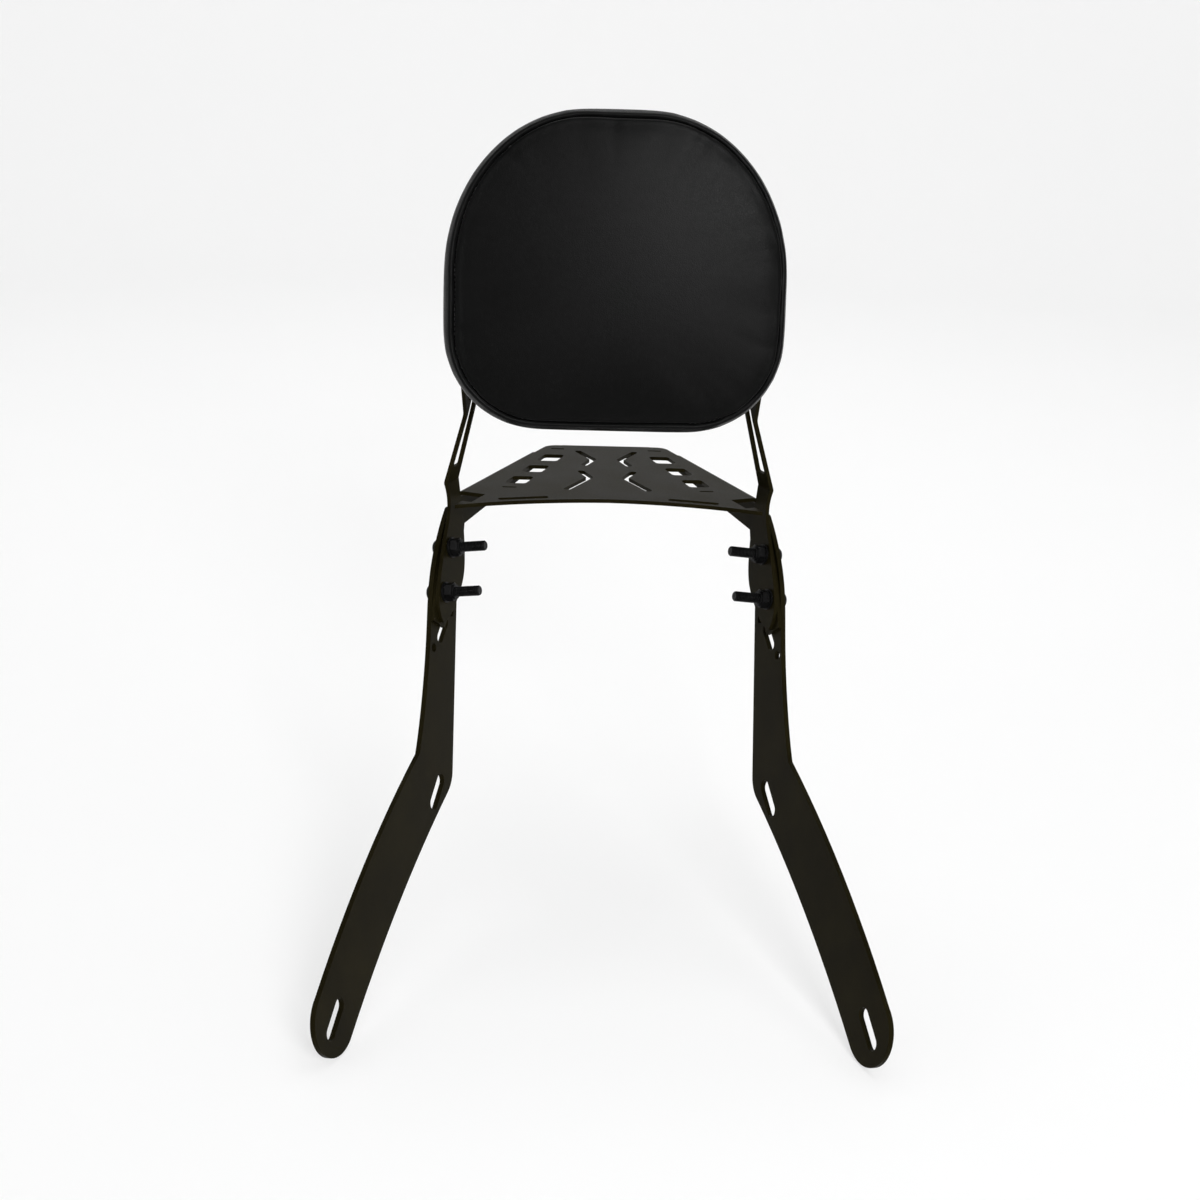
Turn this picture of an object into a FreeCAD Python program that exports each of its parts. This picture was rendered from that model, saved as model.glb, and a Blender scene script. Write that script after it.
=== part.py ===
import FreeCAD, Part
import math
import os

# Motorcycle passenger backrest with a folded luggage rack, in millimetres.
# X runs across, +Y to the rear, +Z up; left and right are as seen from the front.
# The origin is on the rack's top face, on the middle plane, in line with the strap slots.

Vector = FreeCAD.Vector

# Side planes: both clamp faces toe out to the front and lean in towards their feet.
clamp_half_width = 126.5
side_toe = 22.0
side_lean = 11.0

# How far a cutting shape runs past the face it cuts
cut_past = 1.0

# Plate thicknesses
arm_thickness = 4.0
rack_thickness = 3.0
upright_thickness = 3.0

# Clamp bolts: places in a side plane, measured forward and down from the rack's top edge
clamp_bolt_forward = 20.0
clamp_bolt_drop = 38.0
clamp_bolt_pitch = 37.0
clamp_line_angle = 36.3
bolt_diameter = 8.0
bolt_length = 40.0
bolt_hole_clearance = 0.5
thread_clearance = 0.05
button_head_diameter = 14.0
button_head_height = 4.4
button_crown_share = 0.55
button_shoulder_share = (0.87, 0.62)
hex_key = 5.0
hex_key_depth = 2.6
washer_diameter = 16.0
washer_thickness = 1.6
washer_clearance = 0.4
nut_across_flats = 13.0
nut_height = 6.5
nut_collar_height = 1.5
nut_collar_diameter = 11.4
nut_collar_overlap = 0.5

# Arms: the front edge is given along and across the bolt line, from the upper bolt
arm_front_edge = ((-39.0, -1.0), (-8.0, 7.3), (27.0, 10.4), (70.0, 4.0), (125.0, -2.6))
arm_top_width = 15.0
arm_top_radius = 6.0
arm_elbow_forward = 115.0
arm_elbow_drop = 173.0
arm_elbow_width = 54.5
arm_elbow_radius = 24.0
arm_heel_share = 0.3
arm_end_forward = 291.0
arm_end_drop = 299.0
arm_end_radius = 26.0
arm_bow = 6.5

# Slots and holes in the arms: centre places forward and down, end to end lengths
frame_slot_width = 11.0
frame_slot_length = 31.0
frame_slot_angle = 36.0
elbow_slot_forward = 99.5
elbow_slot_drop = 210.0
lamp_slot_width = 9.0
lamp_slot_length = 24.0
lamp_slot_forward = 46.0
lamp_slot_drop = 96.8
lamp_slot_angle = 36.0
lamp_hole_diameter = 7.0
lamp_hole_pitch = 41.0
lamp_hole_angle = 24.5

# Uprights: lower plate against the rack's leg, a bend above the rack, upper plate to the pad
upright_bend_height = 10.0
upright_bend_radius = 3.0
upright_inward_lean = 8.0
upright_bend_front = 8.0
upright_bend_rear = -12.5
upright_front_edge = ((-34.0, 10.4), (-5.0, 9.6), (25.0, 10.2), (48.0, 7.5))
upright_tip = (61.0, -4.0)
upright_rear_edge = ((50.0, -13.5), (36.0, -20.0), (14.0, -25.5), (-6.0, -22.0), (-30.0, -12.5))
waist_height = 51.0
waist_front = -11.5
waist_rear = -26.0
head_height = 165.0
head_rear = -52.0
rail_width = 3.0
rail_slot_bottom = 11.0
rail_slot_top = 92.0
flare_height = 84.0
flare_margin = 4.0
flare_hole_radius = 1.5
waist_radius = 6.0
head_radius = 10.0
slot_corner_radius = 2.4

# Pad tabs, folded inwards from the heads of the uprights
tab_width = 34.0
tab_bottom = 96.0
tab_corner_radius = 8.0
tab_screw_inset = 19.0
tab_screw_pitch = 40.0

# Pad
pad_lean = 9.0
pad_back_set = -19.2
pad_bottom = 60.0
pad_width = 255.0
pad_height = 235.0
pad_thickness = 52.0
pad_bottom_corner = (71.0, 72.0)
pad_top_corner = (105.0, 120.0)
pad_front_rounding = 15.0
pad_back_rounding = 3.0
board_thickness = 8.0
board_inset = 9.0
board_clearance = 0.3
pad_screw_diameter = 6.0
pad_screw_length = 12.0
pad_head_diameter = 10.5
pad_head_height = 3.3
pad_hex_key = 4.0
pad_hex_depth = 2.0
pad_washer_diameter = 12.0
pad_washer_thickness = 1.2
tee_flange_diameter = 19.0
tee_flange_thickness = 1.5
tee_barrel_diameter = 7.8
tee_barrel_length = 6.0

# Rack: places on the top face, right half
rack_front = -3.0
rack_front_bow = 26.0
rack_half_bow_share = 0.28
rack_rear = 176.0
rack_rear_radius = 12.0
rack_bend_radius = 2.0
rack_lip_depth = 11.0
rack_lip_half_width = 38.0
flange_rear = -158.0
flange_rear_depth = 15.0
flange_front_depth = 27.0
flange_edge_inset = 2.5
leg_length = 62.0
leg_foot_inset = 7.5
window_rear = -14.5
window_front = 11.0
window_inset = 26.0
tongue_inset = 18.0
strap_slot_inner = (50.0, -0.5)
strap_slot_outer = (83.5, -8.5)
strap_slot_width = 6.0
chevron_width = 5.6
rear_chevron = ((24.0, 150.0), (11.5, 124.0), (18.5, 105.0))
front_chevron = ((21.5, 82.0), (14.5, 64.0), (32.5, 26.5))
window_places = ((47.5, 126.0), (59.5, 88.0), (71.5, 51.0))
window_half_width = 8.6
window_half_depth = 11.0
window_slant = 3.5
window_corner_radius = 3.5
rear_slit = (42.0, 158.0)
front_slit = (79.0, 27.5)
slit_length = 9.0
slit_width = 2.6


# Outline helpers


def point(pair, height=0.0):
    return Vector(pair[0], pair[1], height)


def line(start, end):
    return Part.LineSegment(point(start), point(end)).toShape()


def arc(start, middle, end):
    return Part.Arc(point(start), point(middle), point(end)).toShape()


def curve(places):
    spline = Part.BSplineCurve()
    spline.interpolate([point(place) for place in places])
    return spline.toShape()


def bowed(start, end, bow):
    # An arc whose middle stands off the straight line, to the left of the way from start to end.
    along = point(end) - point(start)
    across = Vector(-along.y, along.x, 0).normalize()
    middle = (point(start) + point(end)) * 0.5 + across * bow
    return arc(start, (middle.x, middle.y), end)


def rounded(corners, radii):
    # A closed outline of straight runs with a tangent arc at each corner.
    edges = []
    stops = []
    count = len(corners)
    for index in range(count):
        corner = point(corners[index])
        back = (point(corners[index - 1]) - corner).normalize()
        ahead = (point(corners[(index + 1) % count]) - corner).normalize()
        half = back.getAngle(ahead) / 2
        reach = radii[index] / math.tan(half)
        depth = radii[index] / math.sin(half) - radii[index]
        start = corner + back * reach
        end = corner + ahead * reach
        if radii[index] > 0:
            middle = corner + (back + ahead).normalize() * depth
            edges.append(Part.Arc(start, middle, end).toShape())
        stops.append((start, end))
    for index in range(count):
        start = stops[index][1]
        end = stops[(index + 1) % count][0]
        if start.distanceToPoint(end) > 0.001:
            edges.append(Part.LineSegment(start, end).toShape())
    return edges


def plate(edges, low, high):
    wire = Part.Wire(Part.__sortEdges__(edges))
    face = Part.Face(wire)
    face.translate(Vector(0, 0, low))
    return face.extrude(Vector(0, 0, high - low))


def round_corners(solid, places, radius):
    # Rounds the upright edges of a plate that stand nearest to the given places.
    upright = [edge for edge in solid.Edges if abs(edge.tangentAt(edge.FirstParameter).z) > 0.999]
    chosen = []
    for place in places:
        def away(edge, place=place):
            middle = edge.CenterOfMass
            return math.hypot(middle.x - place[0], middle.y - place[1])
        chosen.append(min(upright, key=away))
    return solid.makeFillet(radius, chosen)


def cylinder(place, diameter, low, high):
    return Part.makeCylinder(diameter / 2, high - low, point(place, low))


def slot(start, end, width, low, high):
    # A round-ended slot between two end centres.
    along = (point(end) - point(start)).normalize()
    side = Vector(-along.y, along.x, 0) * (width / 2)
    tip = along * (width / 2)
    a = point(start)
    b = point(end)
    edges = [
        Part.LineSegment(a + side, b + side).toShape(),
        Part.Arc(b + side, b + tip, b - side).toShape(),
        Part.LineSegment(b - side, a - side).toShape(),
        Part.Arc(a - side, a - tip, a + side).toShape(),
    ]
    return plate(edges, low, high)


def slot_about(centre, length, width, angle, low, high):
    # A round-ended slot about its centre, running forward and down at an angle.
    reach = (length - width) / 2
    step = (reach * math.cos(math.radians(angle)), -reach * math.sin(math.radians(angle)))
    start = (centre[0] - step[0], centre[1] - step[1])
    end = (centre[0] + step[0], centre[1] + step[1])
    return slot(start, end, width, low, high)


def hexagon(across_flats, low, high):
    radius = across_flats / math.sqrt(3)
    turns = [math.radians(60 * k) for k in range(6)]
    corners = [(radius * math.cos(turn), radius * math.sin(turn)) for turn in turns]
    return plate(rounded(corners, [0] * 6), low, high)


# Frames: a side plane has u forward, w up and z inwards from the arm's inner face


def side_matrix():
    toe = math.radians(side_toe)
    lean = math.radians(side_lean)
    forward = Vector(math.sin(toe), -math.cos(toe), 0)
    up = Vector(math.sin(lean) * math.cos(toe), math.sin(lean) * math.sin(toe), math.cos(lean))
    inward = forward.cross(up)
    return frame_matrix(forward, up, inward, Vector(clamp_half_width, 0, 0))


def pad_matrix():
    # The pad's frame: x across, y up along the pad's back, z out of its front.
    lean = math.radians(pad_lean)
    across = Vector(1, 0, 0)
    up = Vector(0, math.sin(lean), math.cos(lean))
    return frame_matrix(across, up, across.cross(up), Vector(0, pad_back_set, 0))


def frame_matrix(x_axis, y_axis, z_axis, origin):
    return FreeCAD.Matrix(
        x_axis.x, y_axis.x, z_axis.x, origin.x,
        x_axis.y, y_axis.y, z_axis.y, origin.y,
        x_axis.z, y_axis.z, z_axis.z, origin.z,
        0, 0, 0, 1,
    )


def placed(solid, matrix):
    moved = solid.copy()
    moved.Placement = FreeCAD.Placement(matrix).multiply(moved.Placement)
    return moved


def mirrored(solid):
    return solid.mirror(Vector(0, 0, 0), Vector(1, 0, 0))


def beside_bolts(along, across):
    # A place along and across the line of the clamp bolts, from the upper one.
    angle = math.radians(clamp_line_angle)
    forward = clamp_bolt_forward + along * math.sin(angle) + across * math.cos(angle)
    up = -clamp_bolt_drop - along * math.cos(angle) + across * math.sin(angle)
    return (forward, up)


def clamp_places():
    return {"upper": beside_bolts(0, 0), "lower": beside_bolts(clamp_bolt_pitch, 0)}


def cut_clamp_holes(solid, low, high):
    for place in clamp_places().values():
        hole = cylinder(place, bolt_diameter + bolt_hole_clearance, low - cut_past, high + cut_past)
        solid = solid.cut(hole)
    return solid


# Layers of the clamp, outside to inside
arm_inner = 0.0
arm_outer = arm_inner - arm_thickness
leg_inner = arm_inner + rack_thickness
upright_inner = leg_inner + upright_thickness


def arm():
    elbow = (arm_elbow_forward, -arm_elbow_drop)
    end = (arm_end_forward, -arm_end_drop)
    along = (point(end) - point(elbow)).normalize()
    # The strip's middle line starts half a width behind the elbow's front corner.
    across = Vector(-along.y, along.x, 0)
    strip = (point(end) - (point(elbow) - across * arm_end_radius)).normalize()
    normal = Vector(-strip.y, strip.x, 0) * arm_end_radius
    centre = point(end)
    front = centre + normal
    tip = centre + strip * arm_end_radius
    rear = centre - normal
    heel = point(elbow) - strip * (arm_heel_share * arm_elbow_width)
    heel = heel + Vector(strip.y, -strip.x, 0) * arm_elbow_width
    top_front = beside_bolts(*arm_front_edge[0])
    top_rear = beside_bolts(arm_front_edge[0][0] + arm_top_width / 2, arm_front_edge[0][1] - arm_top_width)
    front_places = [beside_bolts(*pair) for pair in arm_front_edge]
    edges = [
        curve(front_places + [elbow]),
        bowed(elbow, (front.x, front.y), arm_bow),
        arc((front.x, front.y), (tip.x, tip.y), (rear.x, rear.y)),
        bowed((rear.x, rear.y), (heel.x, heel.y), -arm_bow),
        line((heel.x, heel.y), top_rear),
        line(top_rear, top_front),
    ]
    solid = plate(edges, arm_outer, arm_inner)
    solid = round_corners(solid, [(heel.x, heel.y)], arm_elbow_radius)
    solid = round_corners(solid, [top_front, top_rear], arm_top_radius)
    low = arm_outer - cut_past
    high = arm_inner + cut_past
    elbow_slot = (elbow_slot_forward, -elbow_slot_drop)
    lamp_slot = (lamp_slot_forward, -lamp_slot_drop)
    cuts = [
        slot_about(elbow_slot, frame_slot_length, frame_slot_width, frame_slot_angle, low, high),
        slot_about(end, frame_slot_length, frame_slot_width, frame_slot_angle, low, high),
        slot_about(lamp_slot, lamp_slot_length, lamp_slot_width, lamp_slot_angle, low, high),
    ]
    reach = lamp_hole_pitch / 2
    angle = math.radians(lamp_hole_angle)
    for sign in (-1, 1):
        place = (lamp_slot[0] + sign * reach * math.cos(angle), lamp_slot[1] - sign * reach * math.sin(angle))
        cuts.append(cylinder(place, lamp_hole_diameter, low, high))
    solid = cut_clamp_holes(solid, arm_outer, arm_inner)
    return solid.cut(cuts)


def upper_strip(height):
    # Front and rear edge of the upright's strip at a height above the bend.
    # Above the waist the two run side by side.
    if height > waist_height:
        step = (head_rear - waist_rear) * (height - waist_height) / (head_height - waist_height)
        return waist_front + step, waist_rear + step
    share = height / waist_height
    front = upright_bend_front + (waist_front - upright_bend_front) * share
    rear = upright_bend_rear + (waist_rear - upright_bend_rear) * share
    return front, rear


def upright_lower():
    bend = upright_bend_height
    front_top = (upright_bend_front, bend)
    rear_top = (upright_bend_rear, bend)
    tip = beside_bolts(*upright_tip)
    front_places = [front_top] + [beside_bolts(*pair) for pair in upright_front_edge] + [tip]
    rear_places = [tip] + [beside_bolts(*pair) for pair in upright_rear_edge] + [rear_top]
    edges = [curve(front_places), curve(rear_places), line(rear_top, front_top)]
    solid = plate(edges, leg_inner, upright_inner)
    solid = round_corners(solid, [tip], slot_corner_radius)
    return cut_clamp_holes(solid, leg_inner, upright_inner)


def bend_axis_height():
    return upright_inner + upright_bend_radius


def upright_bend_angle():
    return side_lean + upright_inward_lean


def into_upper(solid):
    # Turns a plate that was drawn on in the side plane about the bend, to its place above it.
    turned = solid.copy()
    turned.rotate(Vector(0, upright_bend_height, bend_axis_height()), Vector(1, 0, 0), upright_bend_angle())
    return turned


def upright_bend():
    low = Vector(upright_bend_rear, upright_bend_height, leg_inner)
    corners = [
        low,
        low + Vector(upright_bend_front - upright_bend_rear, 0, 0),
        low + Vector(upright_bend_front - upright_bend_rear, 0, upright_thickness),
        low + Vector(0, 0, upright_thickness),
    ]
    face = Part.Face(Part.makePolygon(corners + [low]))
    axis = Vector(0, upright_bend_height, bend_axis_height())
    return face.revolve(axis, Vector(1, 0, 0), upright_bend_angle())


def fold_line(height):
    # How far forward the upright's inner face meets the pad's back plane, at a height above the bend.
    matrix = side_matrix()
    pad = pad_matrix().inverse()

    def depth(forward):
        probe = Part.Vertex(forward, upright_bend_height + height, upright_inner)
        spot = placed(into_upper(probe), matrix).Point
        return pad.multVec(spot)
    start = depth(0)
    step = depth(1)
    forward = -start.z / (step.z - start.z)
    spot = depth(forward)
    return forward, (spot.x, spot.y)


def upright_upper():
    bend = upright_bend_height
    past_fold = 2 * upright_thickness
    flare_front = fold_line(flare_height)[0]
    head_front = fold_line(head_height)[0]
    corners = [
        (upright_bend_front, bend),
        (waist_front, bend + waist_height),
        (flare_front + past_fold, bend + flare_height),
        (head_front + past_fold, bend + head_height),
        (head_rear, bend + head_height),
        (waist_rear, bend + waist_height),
        (upright_bend_rear, bend),
    ]
    solid = plate(rounded(corners, [0, waist_radius, 0, 0, head_radius, 0, 0]), leg_inner, upright_inner)
    # The long slot between the two rails
    fronts = []
    rears = []
    for height in (rail_slot_bottom, waist_height, rail_slot_top):
        front, rear = upper_strip(height)
        fronts.append((front - rail_width, bend + height))
        rears.append((rear + rail_width, bend + height))
    outline = fronts + rears[::-1]
    end = slot_corner_radius
    low_cut = leg_inner - cut_past
    high_cut = upright_inner + cut_past
    rail_slot = plate(rounded(outline, [end, 0, end, end, 0, end]), low_cut, high_cut)
    # The opening between the front rail and the flared front edge
    low = waist_height + 2 * flare_margin
    high = flare_height + 2 * flare_margin
    outline = [
        (upper_strip(low)[0], bend + low),
        (flare_front - flare_margin, bend + flare_height - flare_margin),
        (flare_front - flare_margin, bend + high),
        (upper_strip(high)[0], bend + high),
    ]
    radii = [flare_hole_radius] * 4
    flare_hole = plate(rounded(outline, radii), low_cut, high_cut)
    return solid.cut([rail_slot, flare_hole])


def tab_screw_places():
    # Screw centres in the pad's frame, right side.
    low = fold_line(tab_bottom)[1]
    high = fold_line(head_height)[1]
    middle = (point(low) + point(high)) * 0.5
    along = (point(high) - point(low)).normalize()
    places = {}
    for name, sign in (("lower", -1), ("upper", 1)):
        spot = middle + along * (sign * tab_screw_pitch / 2)
        places[name] = (spot.x - tab_screw_inset, spot.y)
    return places


def pad_tab():
    low = fold_line(tab_bottom)[1]
    high = fold_line(head_height)[1]
    edge = upright_thickness
    corners = [
        (low[0] + edge, low[1]),
        (high[0] + edge, high[1]),
        (high[0] - tab_width, high[1]),
        (low[0] - tab_width, low[1]),
    ]
    radii = [0, 0, tab_corner_radius, tab_corner_radius]
    solid = plate(rounded(corners, radii), -upright_thickness, 0)
    for place in tab_screw_places().values():
        diameter = pad_screw_diameter + bolt_hole_clearance
        hole = cylinder(place, diameter, -upright_thickness - cut_past, cut_past)
        solid = solid.cut(hole)
    return placed(solid, pad_matrix())


def upright():
    matrix = side_matrix()
    pieces = [upright_lower(), upright_bend(), into_upper(upright_upper())]
    body = pieces[0].fuse(pieces[1:]).removeSplitter()
    body = placed(body, matrix)
    # Everything in front of the pad's back plane comes off, then the tab is folded on.
    reach = 2 * pad_width
    front = Part.makeBox(reach, reach, reach, Vector(-reach / 2, pad_bottom, 0))
    body = body.cut(placed(front, pad_matrix()))
    body = body.fuse(pad_tab()).removeSplitter()
    return max(body.Solids, key=lambda solid: solid.Volume)


# Luggage rack


def rack_setback():
    # From the meeting line of the outer faces to the start of a side bend.
    turn = math.radians(90 + side_lean)
    return (rack_bend_radius + rack_thickness) * math.tan(turn / 2)


def on_top(forward, inset):
    # A place on the top face, along the side edge and in from it.
    toe = math.radians(side_toe)
    x = clamp_half_width + forward * math.sin(toe) - inset * math.cos(toe)
    y = -forward * math.cos(toe) - inset * math.sin(toe)
    return (x, y)


def forward_at(y, inset):
    toe = math.radians(side_toe)
    return (-y - inset * math.sin(toe)) / math.cos(toe)


def rack_top():
    setback = rack_setback()
    rear = rack_rear - rack_bend_radius - rack_thickness
    corner = on_top(forward_at(rear, setback), setback)
    tongue_end = on_top(forward_at(rack_front - rack_front_bow, tongue_inset), tongue_inset)
    outline = [
        (0, rear),
        corner,
        on_top(window_rear, setback),
        on_top(window_rear, window_inset),
        on_top(window_front, window_inset),
        on_top(window_front, tongue_inset),
        tongue_end,
    ]
    edges = [line(outline[k], outline[k + 1]) for k in range(len(outline) - 1)]
    middle = (tongue_end[0] / 2, rack_front - rack_half_bow_share * rack_front_bow)
    edges.append(arc(tongue_end, middle, (0, rack_front)))
    edges.append(line((0, rack_front), (0, rear)))
    half = plate(edges, -rack_thickness, 0)
    half = round_corners(half, [corner], rack_rear_radius)
    half = half.cut(rack_cutouts())
    return half.fuse(mirrored(half)).removeSplitter()


def rack_cutouts():
    low = -rack_thickness - cut_past
    high = cut_past
    cuts = [slot(strap_slot_inner, strap_slot_outer, strap_slot_width, low, high)]
    for chevron in (rear_chevron, front_chevron):
        for start, end in zip(chevron, chevron[1:]):
            cuts.append(slot(start, end, chevron_width, low, high))
    for x, y in window_places:
        outline = [
            (x - window_half_width - window_slant, y + window_half_depth),
            (x + window_half_width - window_slant, y + window_half_depth),
            (x + window_half_width + window_slant, y - window_half_depth),
            (x - window_half_width + window_slant, y - window_half_depth),
        ]
        cuts.append(plate(rounded(outline, [window_corner_radius] * 4), low, high))
    for x, y in (rear_slit, front_slit):
        start = (x - slit_length / 2, y)
        end = (x + slit_length / 2, y)
        cuts.append(slot(start, end, slit_width, low, high))
    return cuts


def rack_flange():
    # Side flange with its leg, in the side plane, below the bend.
    setback = rack_setback()
    top = -setback
    inset = flange_edge_inset
    leg_front = [(pair[0], pair[1] - inset) for pair in arm_front_edge[:3]]
    front_places = [beside_bolts(*pair) for pair in leg_front]
    leg_foot_front = beside_bolts(leg_length, arm_front_edge[3][1] + inset)
    leg_foot_rear = beside_bolts(leg_length, upright_tip[1] - leg_foot_inset)
    leg_back = beside_bolts(*upright_rear_edge[2])
    flange_front = (window_rear, -flange_front_depth)
    flange_end = (flange_rear, -flange_rear_depth)
    leg_top = (window_rear, top)
    edges = [
        line((flange_rear, top), leg_top),
        line(leg_top, front_places[0]),
        curve(front_places + [leg_foot_front]),
        line(leg_foot_front, leg_foot_rear),
        line(leg_foot_rear, leg_back),
        line(leg_back, flange_front),
        line(flange_front, flange_end),
        line(flange_end, (flange_rear, top)),
    ]
    solid = plate(edges, arm_inner, leg_inner)
    return cut_clamp_holes(solid, arm_inner, leg_inner)


def rack_side_bend():
    setback = rack_setback()
    corners = [
        Vector(flange_rear, -setback, arm_inner),
        Vector(window_rear, -setback, arm_inner),
        Vector(window_rear, -setback, leg_inner),
        Vector(flange_rear, -setback, leg_inner),
    ]
    face = Part.Face(Part.makePolygon(corners + corners[:1]))
    axis = Vector(0, -setback, leg_inner + rack_bend_radius)
    return face.revolve(axis, Vector(1, 0, 0), 90 + side_lean)


def rack_lip():
    # Rear edge folded down, with its bend.
    start = rack_rear - rack_bend_radius - rack_thickness
    half = rack_lip_half_width
    corners = [
        Vector(-half, start, -rack_thickness),
        Vector(half, start, -rack_thickness),
        Vector(half, start, 0),
        Vector(-half, start, 0),
    ]
    face = Part.Face(Part.makePolygon(corners + corners[:1]))
    axis = Vector(0, start, -rack_thickness - rack_bend_radius)
    bend = face.revolve(axis, Vector(1, 0, 0), -90)
    drop = rack_lip_depth - rack_bend_radius - rack_thickness
    low = Vector(-half, rack_rear - rack_thickness, -rack_lip_depth)
    apron = Part.makeBox(2 * half, rack_thickness, drop, low)
    return bend.fuse(apron)


def luggage_rack():
    side = rack_flange().fuse(rack_side_bend())
    side = placed(side, side_matrix())
    body = rack_top().fuse([side, mirrored(side), rack_lip()])
    return body.removeSplitter()


# Fasteners


def button_bolt(diameter, length, head_size, key, key_depth):
    # Head below z 0, shank above it, with a chamfered thread end.
    radius = diameter / 2
    head = head_size[0] / 2
    head_height = head_size[1]
    chamfer = diameter / 8
    rim = Vector(head, 0, 0)
    crown = Vector(head * button_crown_share, 0, -head_height)
    shoulder = Vector(head * button_shoulder_share[0], 0, -head_height * button_shoulder_share[1])
    edges = [
        Part.LineSegment(Vector(0, 0, -head_height), crown).toShape(),
        Part.Arc(crown, shoulder, rim).toShape(),
        Part.makePolygon([
            rim,
            Vector(radius, 0, 0),
            Vector(radius, 0, length - chamfer),
            Vector(radius - chamfer, 0, length),
            Vector(0, 0, length),
            Vector(0, 0, -head_height),
        ]),
    ]
    outline = [edge for piece in edges for edge in piece.Edges]
    face = Part.Face(Part.Wire(Part.__sortEdges__(outline)))
    solid = face.revolve(Vector(0, 0, 0), Vector(0, 0, 1), 360)
    return solid.cut(hexagon(key, -head_height - cut_past, -head_height + key_depth))


def clamp_bolt():
    head = (button_head_diameter, button_head_height)
    return button_bolt(bolt_diameter, bolt_length, head, hex_key, hex_key_depth)


def ring(outer, inner, low, high):
    hole = cylinder((0, 0), inner, low - cut_past, high + cut_past)
    return cylinder((0, 0), outer, low, high).cut(hole)


def clamp_washer():
    return ring(washer_diameter, bolt_diameter + washer_clearance, 0, washer_thickness)


def clamp_nut():
    # Hexagon with bevelled corners and a round locking collar.
    corner = nut_across_flats / math.sqrt(3)
    bevel = corner - nut_across_flats / 2
    body = hexagon(nut_across_flats, 0, nut_height)
    turned = Part.makeCylinder(corner, nut_height)
    turned = turned.makeChamfer(bevel, [edge for edge in turned.Edges if edge.Closed])
    body = body.common(turned)
    top = nut_height + nut_collar_height
    collar = cylinder((0, 0), nut_collar_diameter, nut_height - nut_collar_overlap, top)
    body = body.fuse(collar).removeSplitter()
    return body.cut(cylinder((0, 0), bolt_diameter + 2 * thread_clearance, -cut_past, top + cut_past))


def at_clamp(solid, place, depth):
    moved = solid.copy()
    moved.translate(Vector(place[0], place[1], depth))
    return placed(moved, side_matrix())


# Pad


def quarter_ellipse(centre, reach, start):
    # A quarter of an ellipse that starts at an angle and runs counter-clockwise.
    quarter = Part.makeCircle(1, Vector(0, 0, 0), Vector(0, 0, 1), start, start + 90)
    wide = Vector(reach[0], 0, 0)
    tall = Vector(0, reach[1], 0)
    return quarter.transformGeometry(frame_matrix(wide, tall, Vector(0, 0, 1), point(centre)))


def pad_outline(inset):
    # Straight runs joined by elliptical corners, of which the upper ones are the longer.
    half = pad_width / 2 - inset
    low = pad_bottom + inset
    high = pad_bottom + pad_height - inset
    bottom = (pad_bottom_corner[0] - inset, pad_bottom_corner[1] - inset)
    top = (pad_top_corner[0] - inset, pad_top_corner[1] - inset)
    right = [
        quarter_ellipse((half - bottom[0], low + bottom[1]), bottom, -90),
        line((half, low + bottom[1]), (half, high - top[1])),
        quarter_ellipse((half - top[0], high - top[1]), top, 0),
    ]
    ends = [
        line((bottom[0] - half, low), (half - bottom[0], low)),
        line((half - top[0], high), (top[0] - half, high)),
    ]
    return right + ends + [mirrored(edge) for edge in right]


def pad_board():
    solid = plate(pad_outline(board_inset), 0, board_thickness)
    for place in all_tab_screws().values():
        over = board_thickness + cut_past
        barrel = cylinder(place, tee_barrel_diameter + 2 * thread_clearance, -cut_past, over)
        ledge = board_thickness - tee_flange_thickness
        seat = cylinder(place, tee_flange_diameter + 2 * board_clearance, ledge, over)
        solid = solid.cut([barrel, seat])
    return placed(solid, pad_matrix())


def pad_cushion():
    # Foam and cover as one soft block that wraps the board's edge.
    solid = plate(pad_outline(0), 0, pad_thickness)
    front = [edge for edge in solid.Edges if edge.BoundBox.ZMin > pad_thickness - 0.1]
    solid = solid.makeFillet(pad_front_rounding, front)
    back = [edge for edge in solid.Edges if edge.BoundBox.ZMax < 0.1]
    solid = solid.makeFillet(pad_back_rounding, back)
    pocket = plate(pad_outline(board_inset - board_clearance), -cut_past, board_thickness)
    return placed(solid.cut(pocket), pad_matrix())


def all_tab_screws():
    places = {}
    for name, (x, y) in tab_screw_places().items():
        places["right_" + name] = (x, y)
        places["left_" + name] = (-x, y)
    return places


def pad_screw():
    head = (pad_head_diameter, pad_head_height)
    return button_bolt(pad_screw_diameter, pad_screw_length, head, pad_hex_key, pad_hex_depth)


def pad_washer():
    return ring(pad_washer_diameter, pad_screw_diameter + washer_clearance, 0, pad_washer_thickness)


def tee_nut():
    ledge = board_thickness - tee_flange_thickness
    bottom = ledge - tee_barrel_length
    flange = cylinder((0, 0), tee_flange_diameter, ledge, board_thickness)
    barrel = cylinder((0, 0), tee_barrel_diameter, bottom, ledge)
    thread = pad_screw_diameter + 2 * thread_clearance
    hole = cylinder((0, 0), thread, bottom - cut_past, board_thickness + cut_past)
    return flange.fuse(barrel).cut(hole)


def at_pad(solid, place, depth):
    moved = solid.copy()
    moved.translate(Vector(place[0], place[1], depth))
    return placed(moved, pad_matrix())


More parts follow.
